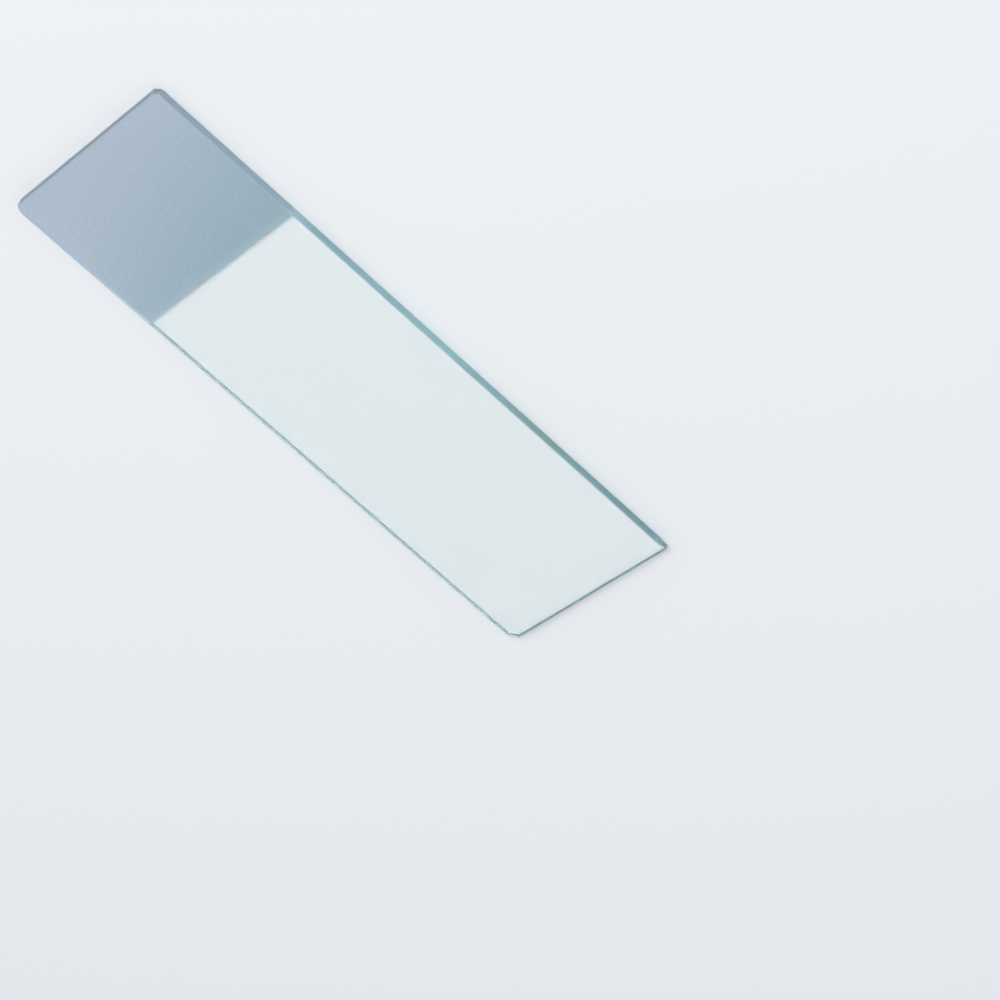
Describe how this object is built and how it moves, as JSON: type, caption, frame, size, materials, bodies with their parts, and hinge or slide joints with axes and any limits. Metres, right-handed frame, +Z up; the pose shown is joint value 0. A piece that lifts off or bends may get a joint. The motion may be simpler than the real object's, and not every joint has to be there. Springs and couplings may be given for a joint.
{
  "type": "microscope slide",
  "caption": "Flat rectangular pane of clear glass with ground edges, clipped corners and a frosted end for writing on, made to hold a specimen under a microscope.",
  "frame": {"origin": "centre of the underside, where the slide rests", "axes": "+X from the frosted end to the clear end, along the long side; +Y to the left long edge; +Z up, out of the frosted face"},
  "size_m": [0.0762, 0.0254, 0.0011],
  "materials": {
    "clear_glass": "polished faces, ground edges, one end frosted on the upper face"
  },
  "bodies": {
    "root": {"glass_slide": "clear_glass"}
  },
  "joints": []
}
